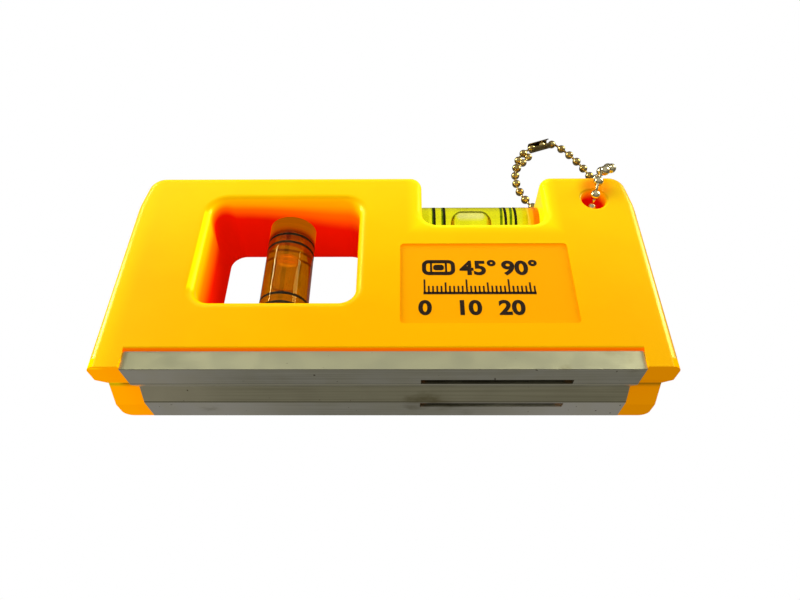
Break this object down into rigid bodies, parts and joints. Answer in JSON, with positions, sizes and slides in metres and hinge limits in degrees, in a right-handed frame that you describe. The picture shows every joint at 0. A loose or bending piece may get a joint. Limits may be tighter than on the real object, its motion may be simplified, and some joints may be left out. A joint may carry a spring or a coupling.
{
  "type": "pocket spirit level",
  "caption": "Pocket spirit level on its rear face: yellow shells, grooved magnetic aluminium base, level vial in a top notch, plumb vial in a window, ball chain through the corner hole.",
  "frame": {"origin": "under the middle of the body, on the surface that the tool's rear face lies on", "axes": "+X along the tool towards the chain hole, +Y from the working base towards the top edge, +Z out of the front face"},
  "size_m": [0.132, 0.0998, 0.0295],
  "materials": {
    "yellow_plastic": "smooth moulded, semi-gloss amber yellow",
    "channel_aluminium": "mill finish with extrusion lines and handling marks",
    "ferrite": "matt sintered",
    "plate_steel": "sheared edge, dull",
    "vial_acrylic": "clear, polished",
    "vial_plug": "clear, moulded",
    "vial_liquid": "clear yellow-green liquid",
    "vial_bubble": "clear",
    "line_black": "matt ink",
    "bond_resin": "cured resin",
    "chain_nickel": "bright nickel plate",
    "coupling_nickel": "bright nickel plate"
  },
  "bodies": {
    "body": {"front_shell": "yellow_plastic", "rear_shell": "yellow_plastic", "base_channel": "channel_aluminium", "magnet_bar": "ferrite", "pole_plate_front": "plate_steel", "pole_plate_rear": "plate_steel", "level_vial_tube": "vial_acrylic", "level_vial_plug": "vial_plug", "level_vial_liquid": "vial_liquid", "level_vial_lines": "line_black", "level_vial_bond": "bond_resin", "plumb_vial_tube": "vial_acrylic", "plumb_vial_plug": "vial_plug", "plumb_vial_liquid": "vial_liquid", "plumb_vial_lines": "line_black", "plumb_vial_bond": "bond_resin", "ball_chain": "chain_nickel", "chain_coupling": "coupling_nickel", "chain_tail": "chain_nickel"},
    "level_bubble": {"level_vial_bubble": "vial_bubble"},
    "plumb_bubble": {"plumb_vial_bubble": "vial_bubble"}
  },
  "joints": [
    {"name": "level_bubble_travel", "type": "slide", "parent": "body", "child": "level_bubble", "axis": [1, 0, 0], "range_m": [-0.0057, 0.0094], "stiffness_N_per_m": 0.05},
    {"name": "plumb_bubble_travel", "type": "slide", "parent": "body", "child": "plumb_bubble", "axis": [0, 1, 0], "range_m": [-0.0079, 0.0064], "stiffness_N_per_m": 0.05}
  ]
}
